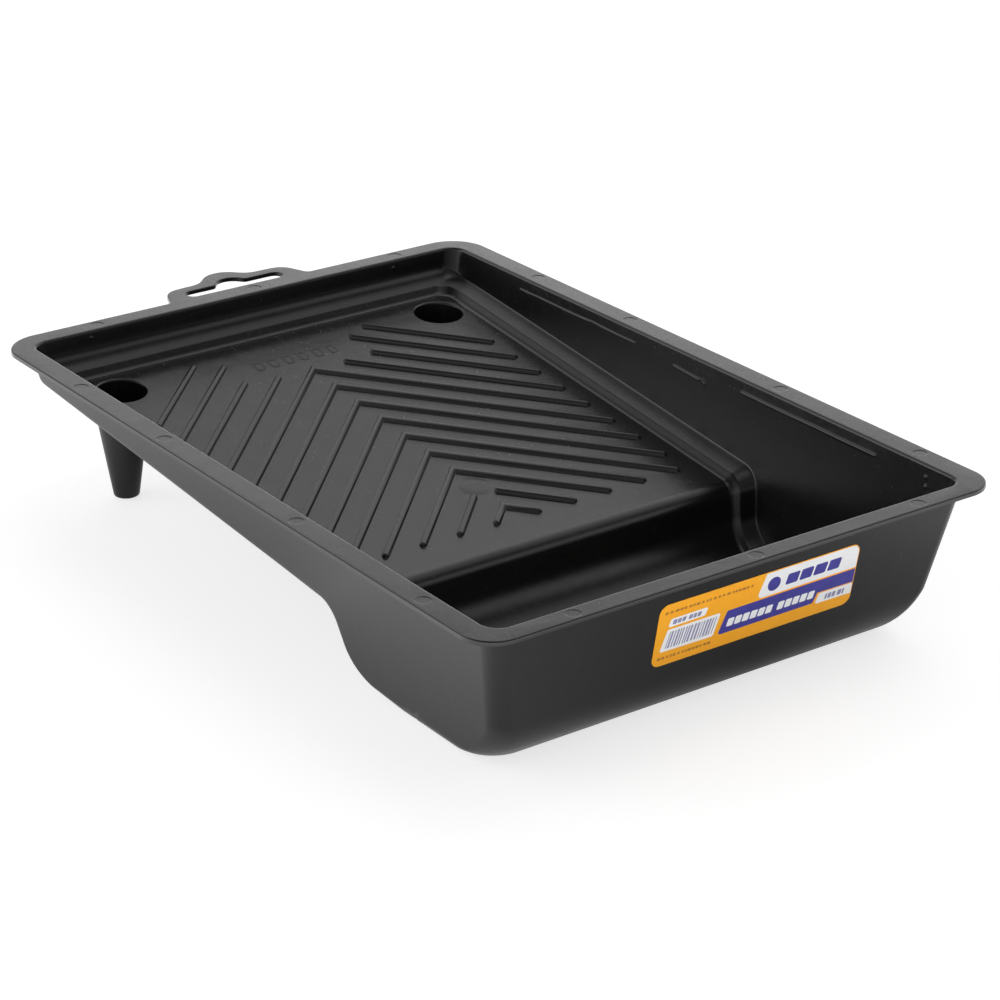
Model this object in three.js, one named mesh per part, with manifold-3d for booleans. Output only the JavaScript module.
// Paint roller tray: a one-piece moulded tray with a well, a ribbed ramp, a
// rim flange, a hang tab and two hollow legs, and a printed film label on the
// front of its well. Millimetres, +Z up, the well faces -Y, right is +X. The
// origin is on the ground, under the middle of the tray.
// The tray is drawn with y from the flange's front edge and z from the rim top.

import * as THREE from 'three';
import { mergeVertices } from 'three/addons/utils/BufferGeometryUtils.js';
import Module from 'manifold-3d';

const wasm = await Module();
wasm.setup();

const { clamp, degToRad, smoothstep } = THREE.MathUtils;
const QUARTER = Math.PI / 2;

// --------------------------------------------------------- overall dimensions
const HEIGHT = 55.5;            // ground to rim top
const RIM_WIDTH = 200;          // outside width of the rim flange
const RIM_LENGTH = 297;         // outside length of the rim flange, without the tab
const TAB_REACH = 19;           // how far the hang tab stands behind the flange
const ORIGIN_Y = (RIM_LENGTH + TAB_REACH) / 2;   // front flange edge to the origin
const WALL = 1.8;               // wall thickness
const FLANGE_T = 1.6;           // flange thickness
const RIM_REAR_RADIUS = 14.5;   // flange corners, in plan
const RIM_FRONT_RADIUS = 11.5;
const RIM_BEVEL = 0.5;          // upper outside edge of the flange

const INNER_TOP_RADIUS = 6.2;   // inner corners at the rim
const INNER_LIP_DEPTH = 0.8;    // bevel from the rim top to the inner wall
const INNER_LIP_OUT = 0.65;
const OUTER_RADIUS = 6.5;       // outer corners under the flange
const OUTER_FILLET_OUT = 1.1;   // bevel from the flange's underside to the outer wall
const OUTER_FILLET_Z = -2.8;
const CORNER_RADIUS = 6;        // corners lower down
const BALL_RADIUS = 6.5;        // front corner radius gained on the way to the well floor
const CORNER_SEGMENTS = 5;
const SIDE_DRAFT = 0.19;        // wall drafts, run over depth
const FRONT_DRAFT = 0.20;
const REAR_DRAFT = 0.17;
const frontSlant = Math.hypot(1, FRONT_DRAFT);   // front wall length per unit of depth
const frontLean = Math.atan(FRONT_DRAFT);

// -------------------------------------------------------------- floor profile
const WELL_Z = -(HEIGHT - WALL);   // well floor
const RAMP_SLOPE = 0.0988;         // rise over run
const RAMP_Z_AT_ZERO = -41.9;      // ramp height where y is zero
const STEEP_ANGLE = degToRad(70.5);   // slope between ramp and well
const STEEP_Y = 103.5;             // a point on that slope
const STEEP_Z = -34.4;
const LIP_RADIUS = 6;              // over the lip of the ramp
const BASE_RADIUS = 18;            // where the slope meets the well floor
const WELL_STATIONS = [56, 62, 69];   // y of the stations on the flat well floor
const PROFILE_SEGMENTS = 5;        // in each of the two floor arcs

const rampAngle = Math.atan(RAMP_SLOPE);
const steepSlope = Math.tan(STEEP_ANGLE);
const rampZ = (y) => RAMP_SLOPE * y + RAMP_Z_AT_ZERO;
const steepY = (z) => STEEP_Y + (z - STEEP_Z) / steepSlope;
// where the ramp line meets the steep line
const lipY = (steepY(0) + RAMP_Z_AT_ZERO / steepSlope) / (1 - RAMP_SLOPE / steepSlope);
const lipZ = rampZ(lipY);

// Points along the floor, front to rear, each with the slope angle there.
function floorStations() {
  const stations = WELL_STATIONS.map((y) => ({ y, z: WELL_Z, angle: 0 }));
  const baseStart = steepY(WELL_Z) - BASE_RADIUS * Math.tan(STEEP_ANGLE / 2);
  for (let i = 0; i <= PROFILE_SEGMENTS; i++) {
    const angle = (STEEP_ANGLE * i) / PROFILE_SEGMENTS;
    stations.push({
      y: baseStart + BASE_RADIUS * Math.sin(angle),
      z: WELL_Z + BASE_RADIUS * (1 - Math.cos(angle)),
      angle,
    });
  }
  const tangent = LIP_RADIUS * Math.tan((STEEP_ANGLE - rampAngle) / 2);
  const centreY = lipY + tangent * Math.cos(rampAngle) + LIP_RADIUS * Math.sin(rampAngle);
  const centreZ = lipZ + tangent * Math.sin(rampAngle) - LIP_RADIUS * Math.cos(rampAngle);
  for (let i = 0; i <= PROFILE_SEGMENTS; i++) {
    const angle = STEEP_ANGLE + ((rampAngle - STEEP_ANGLE) * i) / PROFILE_SEGMENTS;
    stations.push({
      y: centreY - LIP_RADIUS * Math.sin(angle),
      z: centreZ + LIP_RADIUS * Math.cos(angle),
      angle,
    });
  }
  return stations;
}
const STATIONS = floorStations();

// -------------------------------------------------------- edge cross sections
// Where the walls meet the floor. Each is a list of [inward from the wall's
// plane, height above the inside floor], from the wall to the floor.
const SECTION_POINTS = 7;
const SECTION_LAST = SECTION_POINTS - 1;
const INNER_SIDE_EDGE = [
  [0, 5.5], [0.35, 4.35], [1.3, 3.6], [5.3, 2.3], [6.2, 1.6], [7.0, 0.7], [9.0, 0],
];
const INNER_REAR_EDGE = [
  [0, 7.0], [0.7, 5.0], [2.2, 3.5], [4.0, 2.5], [4.8, 1.7], [5.5, 0.8], [7.2, 0],
];
const OUTER_SIDE_EDGE = [
  [0, 4.3], [0.6, 2.4], [2.4, 1.2], [7.0, -0.2], [8.4, -0.8], [9.5, -1.3], [11.4, -WALL],
];
const OUTER_REAR_EDGE = [
  [0, 5.4], [0.8, 3.0], [2.6, 1.4], [5.2, 0.1], [6.6, -0.7], [7.8, -1.3], [9.8, -WALL],
];
const FRONT_EDGE_RADIUS = 20.5;    // where the front wall meets the well floor
const OUTER_FRONT_EDGE_RADIUS = FRONT_EDGE_RADIUS + WALL * 0.98;

// The front edge is an arc; both skins share its centre.
function frontEdge(radius, shift) {
  const centreIn = FRONT_EDGE_RADIUS * (frontSlant - FRONT_DRAFT);
  return Array.from({ length: SECTION_POINTS }, (_, i) => {
    const angle = frontLean + (QUARTER - frontLean) * (i / SECTION_LAST);
    const height = FRONT_EDGE_RADIUS - radius * Math.sin(angle);
    return [centreIn - radius * Math.cos(angle) + FRONT_DRAFT * height + shift, height];
  });
}

// Both skins of the wall: their planes at the rim top and their lower edges.
const offsetPlan = ({ halfWidth, front, rear }, out) => ({
  halfWidth: halfWidth + out,
  front: front - out,
  rear: rear + out,
});
const draftedPlan = ({ halfWidth, front, rear }, depth) => ({
  halfWidth: halfWidth - SIDE_DRAFT * depth,
  front: front + FRONT_DRAFT * depth,
  rear: rear - REAR_DRAFT * depth,
});
const inner = {
  halfWidth: 91.0,
  front: 7.7,
  rear: 288.6,
  frontEdge: frontEdge(FRONT_EDGE_RADIUS, 0),
  sideEdge: INNER_SIDE_EDGE,
  rearEdge: INNER_REAR_EDGE,
};
const outer = {
  ...offsetPlan(inner, WALL),
  frontEdge: frontEdge(OUTER_FRONT_EDGE_RADIUS, WALL),
  sideEdge: OUTER_SIDE_EDGE,
  rearEdge: OUTER_REAR_EDGE,
};
const rim = { halfWidth: RIM_WIDTH / 2, front: 0, rear: RIM_LENGTH };

// ----------------------------------------------------------------- plan rings
// A ring is a closed loop of points, in the same station order on every ring:
// front right corner, right side, rear right corner, then the mirror image
// back along the left.
const LEDGE_IN_WELL = 0.55;      // how much of the side ledge's height is left in the well
const CORNER_CARRY = 0.18;       // how far the front's rounding carries into the sides
const CORNER_EASE = 1.6;         // holds that change back toward the side
const SQUARE_RADIUS = 3.5;       // outer lower edge of the well's sides, at the front
const SQUARE_LEVEL_Y = [56, 69]; // its rings run level with the front's, then fade out
const SQUARE_FADE_Y = [61, 92];  // the squared edge fades into the side section
const OUTER_REAR_DROP = 2.1;     // how much lower the outside edge sits at the rear
const OUTER_STEEP_RISE = 1.1;    // and how much rounder it is on the steep slope

const smooth = (t) => smoothstep(t, 0, 1);
const mix = (from, to, t) => from + (to - from) * t;
const cornerAngles = Array.from(
  { length: CORNER_SEGMENTS + 1 },
  (_, i) => QUARTER * (i / CORNER_SEGMENTS),
);
const withMirror = (right) => right.concat(right.slice().reverse().map(([x, y, z]) => [-x, y, z]));

function flatRing({ halfWidth, front, rear }, z, rearRadius, frontRadius = rearRadius) {
  return withMirror([
    ...cornerAngles.map((angle) => [
      halfWidth - frontRadius + frontRadius * Math.sin(angle),
      front + frontRadius - frontRadius * Math.cos(angle),
      z,
    ]),
    ...STATIONS.map(({ y }) => [halfWidth, y, z]),
    ...cornerAngles.map((angle) => [
      halfWidth - rearRadius + rearRadius * Math.cos(angle),
      rear - rearRadius + rearRadius * Math.sin(angle),
      z,
    ]),
  ]);
}

// The squared lower edge, as [inward, height]. Travel is measured along it from
// where its rounding starts, negative being up the wall.
function squarePoint(travel) {
  if (travel < 0) return [0, SQUARE_RADIUS - WALL - travel];
  const angle = Math.min(travel / SQUARE_RADIUS, QUARTER);
  const pastArc = Math.max(0, travel - SQUARE_RADIUS * QUARTER);
  return [
    SQUARE_RADIUS * (1 - Math.cos(angle)) + pastArc,
    SQUARE_RADIUS * (1 - Math.sin(angle)) - WALL,
  ];
}
function travelAtHeight(height) {
  const above = height + WALL - SQUARE_RADIUS;
  return above > 0 ? -above : SQUARE_RADIUS * Math.asin(Math.min(1, -above / SQUARE_RADIUS));
}
function travelAtInward(inward) {
  if (inward <= 0) return 0;
  return inward < SQUARE_RADIUS
    ? SQUARE_RADIUS * Math.acos(1 - inward / SQUARE_RADIUS)
    : SQUARE_RADIUS * QUARTER + inward - SQUARE_RADIUS;
}

// One ring of a skin's lower edge, k counting inward from the wall.
function edgeRing(k, skin) {
  const { halfWidth, front, rear } = skin;
  const [frontIn, frontUp] = skin.frontEdge[k];
  const [sideIn, sideUp] = skin.sideEdge[k];
  const [rearIn, rearUp] = skin.rearEdge[k];
  const wellUp = sideUp > 0 ? sideUp * LEDGE_IN_WELL : sideUp;
  const outside = skin === outer;
  const fade = outside ? 1 - smooth(k / SECTION_LAST) : 0;
  // outside, the lower edge squares up toward the front, and the rings run
  // level round the front corner
  const frontTravel = travelAtHeight(frontUp);
  const sideTravel = travelAtInward(sideIn);
  const endIn = outside ? squarePoint(frontTravel)[0] : mix(sideIn, frontIn, CORNER_CARRY);
  const endUp = outside ? frontUp : mix(wellUp, frontUp, CORNER_CARRY);

  // on the flat well floor
  const frontCorner = cornerAngles.map((angle) => {
    const z = WELL_Z + mix(frontUp, endUp, smooth((angle / QUARTER) ** CORNER_EASE));
    const radius = CORNER_RADIUS + BALL_RADIUS * (1 - (1 - k / SECTION_LAST) ** 2);
    const centreX = halfWidth + SIDE_DRAFT * z - endIn - radius;
    const centreY = front - FRONT_DRAFT * z + frontIn + radius;
    return [centreX + radius * Math.sin(angle), centreY - radius * Math.cos(angle), z];
  });

  // following the floor, heights square to it
  const side = STATIONS.map((station) => {
    const climb = clamp((station.z - WELL_Z) / (lipZ - WELL_Z), 0, 1);
    const ahead = 1 - smoothstep(station.y, ...SQUARE_FADE_Y);
    const level = 1 - smoothstep(station.y, ...SQUARE_LEVEL_Y);
    const [nearIn, nearUp] = outside
      ? squarePoint(mix(sideTravel, frontTravel, level))
      : [sideIn, wellUp];
    const steepness = (station.angle - rampAngle * climb) / (STEEP_ANGLE - rampAngle);
    const up = mix(mix(wellUp, nearUp, ahead), sideUp, smooth(climb))
      + fade * OUTER_STEEP_RISE * steepness;
    const y = station.y - up * Math.sin(station.angle);
    const z = station.z + up * Math.cos(station.angle);
    return [halfWidth + SIDE_DRAFT * z - mix(sideIn, nearIn, ahead), y, z];
  });

  // on the ramp, where the drafted wall and the sloping floor meet
  const rearCorner = cornerAngles.map((angle) => {
    const up = mix(sideUp - fade * OUTER_REAR_DROP, rearUp, smooth(angle / QUARTER));
    const undraftedY = rear - rearIn - CORNER_RADIUS + CORNER_RADIUS * Math.sin(angle);
    const z = (rampZ(undraftedY) + up) / (1 - RAMP_SLOPE * REAR_DRAFT);
    const x = halfWidth + SIDE_DRAFT * z - sideIn - CORNER_RADIUS
      + CORNER_RADIUS * Math.cos(angle);
    return [x, undraftedY + REAR_DRAFT * z, z];
  });

  return withMirror([...frontCorner, ...side, ...rearCorner]);
}

// Skin of quads between rings, closed by strips across the first and last.
function skinGeometry(rings) {
  const count = rings[0].length;
  const positions = rings.flat().flatMap(([x, y, z]) => [x, y - ORIGIN_Y, z + HEIGHT]);
  const triangles = [];
  const at = (ring, i) => ring * count + (i % count);
  const quad = (a, b, c, d) => triangles.push(a, b, c, a, c, d);
  for (let ring = 0; ring + 1 < rings.length; ring++) {
    for (let i = 0; i < count; i++) {
      quad(at(ring, i), at(ring, i + 1), at(ring + 1, i + 1), at(ring + 1, i));
    }
  }
  // station i on the right pairs with station count-1-i on the left
  const last = rings.length - 1;
  for (let i = 0; i + 1 < count / 2; i++) {
    const [a, b, c, d] = [i, i + 1, count - 2 - i, count - 1 - i].map((j) => at(0, j));
    triangles.push(a, c, b, a, d, c);
    quad(at(last, i), at(last, i + 1), at(last, count - 2 - i), at(last, count - 1 - i));
  }
  const geometry = new THREE.BufferGeometry();
  geometry.setAttribute('position', new THREE.Float32BufferAttribute(positions, 3));
  geometry.setIndex(triangles);
  return geometry;
}

// -------------------------------------------------------------- solid helpers
function signedVolume(coords, triangles) {
  const corner = (i) => new THREE.Vector3().fromArray(coords, triangles[i] * 3);
  let sum = 0;
  for (let i = 0; i < triangles.length; i += 3) {
    sum += corner(i).dot(corner(i + 1).cross(corner(i + 2)));
  }
  return sum / 6;
}

// Welds a geometry into a solid, turning it right side out if need be.
function toSolid(geometry) {
  const bare = geometry.clone();
  bare.deleteAttribute('normal');
  bare.deleteAttribute('uv');
  const welded = mergeVertices(bare, 1e-4);
  const vertProperties = new Float32Array(welded.attributes.position.array);
  const triVerts = new Uint32Array(welded.index.array);
  if (signedVolume(vertProperties, triVerts) < 0) {
    for (let i = 0; i < triVerts.length; i += 3) {
      [triVerts[i + 1], triVerts[i + 2]] = [triVerts[i + 2], triVerts[i + 1]];
    }
  }
  return new wasm.Manifold(new wasm.Mesh({ numProp: 3, vertProperties, triVerts }));
}

function fromSolid(solid) {
  const { vertProperties, triVerts } = solid.getMesh();
  const geometry = new THREE.BufferGeometry();
  geometry.setAttribute('position', new THREE.Float32BufferAttribute(vertProperties, 3));
  geometry.setIndex(new THREE.BufferAttribute(new Uint32Array(triVerts), 1));
  geometry.computeVertexNormals();
  return geometry;
}

// A solid moved from the drawing's frame, y from the flange and z from the rim.
const placedSolid = (geometry, x, y, z) => toSolid(geometry.translate(x, y - ORIGIN_Y, z + HEIGHT));

const toVectors = (points) => points.map(([x, y]) => new THREE.Vector2(x, y));

// ------------------------------------------------------------------ tray skin
// From the middle of the floor up the inside, over the rim and down the outside.
function shellSolid() {
  const steps = Array.from({ length: SECTION_POINTS }, (_, k) => k);
  const innerLip = draftedPlan(inner, INNER_LIP_DEPTH);
  const bevelled = offsetPlan(rim, -RIM_BEVEL);
  const fillet = offsetPlan(outer, OUTER_FILLET_OUT);
  return toSolid(skinGeometry([
    ...steps.map((k) => edgeRing(SECTION_LAST - k, inner)),
    flatRing(innerLip, -INNER_LIP_DEPTH, INNER_TOP_RADIUS - INNER_LIP_DEPTH),
    flatRing(offsetPlan(inner, INNER_LIP_OUT), 0, INNER_TOP_RADIUS),
    flatRing(bevelled, 0, RIM_REAR_RADIUS - RIM_BEVEL, RIM_FRONT_RADIUS - RIM_BEVEL),
    flatRing(rim, -RIM_BEVEL, RIM_REAR_RADIUS, RIM_FRONT_RADIUS),
    flatRing(rim, -FLANGE_T, RIM_REAR_RADIUS, RIM_FRONT_RADIUS),
    flatRing(fillet, -FLANGE_T, OUTER_RADIUS + OUTER_FILLET_OUT),
    flatRing(draftedPlan(outer, -OUTER_FILLET_Z), OUTER_FILLET_Z, OUTER_RADIUS),
    ...steps.map((k) => edgeRing(k, outer)),
  ]));
}

// ------------------------------------------------------------------- hang tab
const TAB_HALF = 29.5;             // half width of the tab
const TAB_SHOULDER = 11.7;         // reach of its shoulders
const TAB_ROOT = -5;               // it starts this far inside the flange
const SLOT_HALF = 20.3;
const SLOT_NEAR = 0.9;             // slot's near edge, behind the flange edge
const SLOT_FAR = 6.9;              // slot's far edge
const DOME_RADIUS = 5.4;           // dome in the middle of the slot's far edge
const DOME_Y = 6.2;

// Right half of the outline, [x, y behind the flange edge]
const TAB_OUTLINE = [
  [TAB_HALF, -0.2], [TAB_HALF - 1.0, 1.4], [TAB_HALF - 1.9, 4.0],
  [TAB_HALF - 2.9, 7.6], [TAB_HALF - 4.2, 9.8], [TAB_HALF - 6.2, TAB_SHOULDER - 0.7],
  [TAB_HALF - 9.0, TAB_SHOULDER], [13.5, TAB_SHOULDER + 0.2], [11.2, TAB_SHOULDER + 0.4],
  [9.4, TAB_SHOULDER + 1.3], [7.4, TAB_SHOULDER + 3.6], [5.0, TAB_REACH - 1.5],
  [2.4, TAB_REACH - 0.3], [0, TAB_REACH],
];

function slotPath() {
  const middle = (SLOT_NEAR + SLOT_FAR) / 2;
  const radius = (SLOT_FAR - SLOT_NEAR) / 2;
  const endX = SLOT_HALF - radius;
  // half of the dome: its foot on the slot, its side, and each curve's control x
  const footX = DOME_RADIUS + 1.6;
  const footControl = DOME_RADIUS + 0.2;
  const sideX = DOME_RADIUS - 0.5;
  const crownControl = DOME_RADIUS - 2.4;
  const sideY = DOME_Y + 1.8;
  const crownY = DOME_Y + DOME_RADIUS;

  const slot = new THREE.Path();
  slot.moveTo(-endX, SLOT_NEAR);
  slot.absarc(endX, middle, radius, -QUARTER, QUARTER, false);
  slot.lineTo(footX, SLOT_FAR);
  slot.quadraticCurveTo(footControl, SLOT_FAR, sideX, sideY);
  slot.quadraticCurveTo(crownControl, crownY, 0, crownY);
  slot.quadraticCurveTo(-crownControl, crownY, -sideX, sideY);
  slot.quadraticCurveTo(-footControl, SLOT_FAR, -footX, SLOT_FAR);
  slot.lineTo(-endX, SLOT_FAR);
  slot.absarc(-endX, middle, radius, QUARTER, 3 * QUARTER, false);
  return slot;
}

function tabSolid() {
  const left = TAB_OUTLINE.slice(0, -1).reverse().map(([x, y]) => [-x, y]);
  const shape = new THREE.Shape(toVectors([
    [TAB_HALF, TAB_ROOT], ...TAB_OUTLINE, ...left, [-TAB_HALF, TAB_ROOT],
  ]));
  shape.closePath();
  shape.holes.push(slotPath());
  const geometry = new THREE.ExtrudeGeometry(shape, {
    depth: FLANGE_T, bevelEnabled: false, curveSegments: 4,
  });
  return placedSolid(geometry, 0, RIM_LENGTH, -FLANGE_T);
}

// ----------------------------------------------------------------------- ribs
// Chevrons on the ramp that point to the rear; the four rearmost leave a
// clear panel between their arms, and the moulding's gate mark parts the last
// but one.
const RIB_PITCH = 14.67;           // along the ramp
const RIB_WIDTH = 2.2;
const RIB_HEIGHT = 1.3;
const RIB_SINK = 0.6;              // depth buried in the ramp
const RIB_END_X = 70.4;            // rib arms end here
const RIB_END_Y = 121.5;           // and here, at the lip of the ramp
const RIB_FIRST = 306.0;           // where the rearmost rib's arms would meet
const RIB_COUNT = 13;
// |x| where the broken arms start, by rib number from the rear
const RIB_STARTS = { 0: 36.8, 1: 27.6, 2: 27.4, 3: 14.6, 11: 4.9 };

function ribRuns() {
  const runs = [];
  for (let i = 0; i < RIB_COUNT; i++) {
    const apex = RIB_FIRST - RIB_PITCH * i;
    const end = Math.min(RIB_END_X, apex - RIB_END_Y);
    const start = RIB_STARTS[i];
    const xRuns = start === undefined ? [[-end, 0, end]] : [[-end, -start], [start, end]];
    for (const xs of xRuns) runs.push(toVectors(xs.map((x) => [x, apex - Math.abs(x)])));
  }
  return runs;
}

// A bar of even width along the run of points, mitred, with pointed ends.
function barShape(points) {
  const half = RIB_WIDTH / 2;
  const last = points.length - 1;
  const heading = (from, to) => to.clone().sub(from).normalize();
  const left = [];
  const right = [];
  points.forEach((point, i) => {
    const before = heading(points[Math.max(0, i - 1)], points[Math.max(1, i)]);
    const after = heading(points[Math.min(last - 1, i)], points[Math.min(last, i + 1)]);
    const along = before.clone().add(after).normalize();
    const reach = half / along.dot(before);
    const offset = new THREE.Vector2(-along.y * reach, along.x * reach);
    left.push(point.clone().add(offset));
    right.push(point.clone().sub(offset));
  });
  const nose = (end, next) => end.clone().addScaledVector(heading(next, end), half);
  return new THREE.Shape([
    nose(points[0], points[1]),
    ...left,
    nose(points[last], points[last - 1]),
    ...right.reverse(),
  ]);
}

function ribSolid(run) {
  const geometry = new THREE.ExtrudeGeometry(barShape(run), {
    depth: RIB_HEIGHT + RIB_SINK, bevelEnabled: false,
  });
  geometry.translate(0, 0, -RIB_SINK);
  // lay the bar on the ramp: plan positions stay, heights follow the slope
  const position = geometry.attributes.position;
  for (let i = 0; i < position.count; i++) {
    position.setZ(i, rampZ(position.getY(i)) + position.getZ(i));
  }
  return placedSolid(geometry, 0, 0, 0);
}

// ----------------------------------------------------------------------- legs
const LEG_X = 67.9;
const LEG_Y = 266.4;
const LEG_TIP_RADIUS = 4.6;
const LEG_TAPER = 0.152;           // radius gained per mm of height
const LEG_MOUTH_RADIUS = 8.95;     // mouth in the ramp
const LEG_FLOOR = 1.6;             // closed tip
const LEG_TIP_WALL = 1.35;         // side wall at the tip
const LEG_MOUTH_DROP = 0.4;        // top of the bore's taper, below the ramp
const LEG_TOP_DROP = 0.9;          // top of the solid leg, below that
const LEG_TOP_INSET = 0.3;         // its radius there, less than the full taper
const LEG_CUT_OVER = 2.6;          // bore's straight run up through the ramp
const LEG_SEGMENTS = 28;
const legLength = rampZ(LEG_Y) - LEG_MOUTH_DROP + HEIGHT;

// A turned solid on a leg's axis, from [radius, height] points.
function turnedSolid(profile, x, bottom) {
  const geometry = new THREE.LatheGeometry(toVectors(profile), LEG_SEGMENTS);
  geometry.rotateX(QUARTER);
  return placedSolid(geometry, x, LEG_Y, bottom - HEIGHT);
}

function legSolid(x) {
  const top = legLength - LEG_TOP_DROP;
  return turnedSolid([
    [0, 0],
    [LEG_TIP_RADIUS - 0.9, 0],
    [LEG_TIP_RADIUS - 0.2, 0.35],
    [LEG_TIP_RADIUS + LEG_TAPER, 1.1],
    [LEG_TIP_RADIUS + LEG_TAPER * legLength - LEG_TOP_INSET, top],
    [0, top],
  ], x, 0);
}

function boreSolid(x) {
  const depth = legLength - LEG_FLOOR;
  return turnedSolid([
    [0, 0],
    [LEG_TIP_RADIUS - LEG_TIP_WALL + LEG_TAPER * LEG_FLOOR, 0],
    [LEG_MOUTH_RADIUS, depth],
    [LEG_MOUTH_RADIUS, depth + LEG_CUT_OVER],
    [0, depth + LEG_CUT_OVER],
  ], x, LEG_FLOOR);
}

// ----------------------------------------------------------------------- tray
function makeTray() {
  let body = shellSolid().add(tabSolid());
  for (const run of ribRuns()) body = body.add(ribSolid(run));
  for (const x of [-LEG_X, LEG_X]) body = body.add(legSolid(x)).subtract(boreSolid(x));
  const plastic = new THREE.MeshStandardMaterial({
    name: 'black_plastic', color: 0x2b2b2a, roughness: 0.5, metalness: 0,
  });
  const tray = new THREE.Mesh(fromSolid(body), plastic);
  tray.name = 'tray_body';
  return tray;
}

// ---------------------------------------------------------------------- label
const LABEL_WIDTH = 78.8;
const LABEL_HEIGHT = 22.8;
const LABEL_T = 0.2;
const LABEL_RADIUS = 3.2;
const LABEL_X = 9.3;
const LABEL_DOWN = 21.4;           // centre, down the slope of the front wall
const LABEL_GAP = 0.05;            // clear of the wall

function labelShape() {
  const cornerX = LABEL_WIDTH / 2 - LABEL_RADIUS;
  const cornerY = LABEL_HEIGHT / 2 - LABEL_RADIUS;
  const shape = new THREE.Shape();
  shape.moveTo(-cornerX, -LABEL_HEIGHT / 2);
  shape.lineTo(cornerX, -LABEL_HEIGHT / 2);
  // each arc draws the straight edge that leads to it
  [[1, -1], [1, 1], [-1, 1], [-1, -1]].forEach(([signX, signY], i) => {
    const start = (i - 1) * QUARTER;
    shape.absarc(signX * cornerX, signY * cornerY, LABEL_RADIUS, start, start + QUARTER, false);
  });
  return shape;
}

function makeLabel() {
  const geometry = new THREE.ExtrudeGeometry(labelShape(), {
    depth: LABEL_T, bevelEnabled: false, curveSegments: 5,
  });
  const film = new THREE.MeshStandardMaterial({
    name: 'label_film', color: 0xf6a623, roughness: 0.35, metalness: 0,
  });
  const label = new THREE.Mesh(geometry, film);
  label.name = 'label';
  // the sheet's face normal leans with the wall: out of the wall and a little down
  label.rotation.set(QUARTER + frontLean, 0, 0);
  const depth = LABEL_DOWN / frontSlant;
  label.position.set(
    LABEL_X,
    outer.front + FRONT_DRAFT * depth - ORIGIN_Y - LABEL_GAP / frontSlant,
    HEIGHT - depth - (LABEL_GAP * FRONT_DRAFT) / frontSlant,
  );
  return label;
}

const group = new THREE.Group();
group.name = 'paint_roller_tray';
group.add(makeTray(), makeLabel());

export default group;
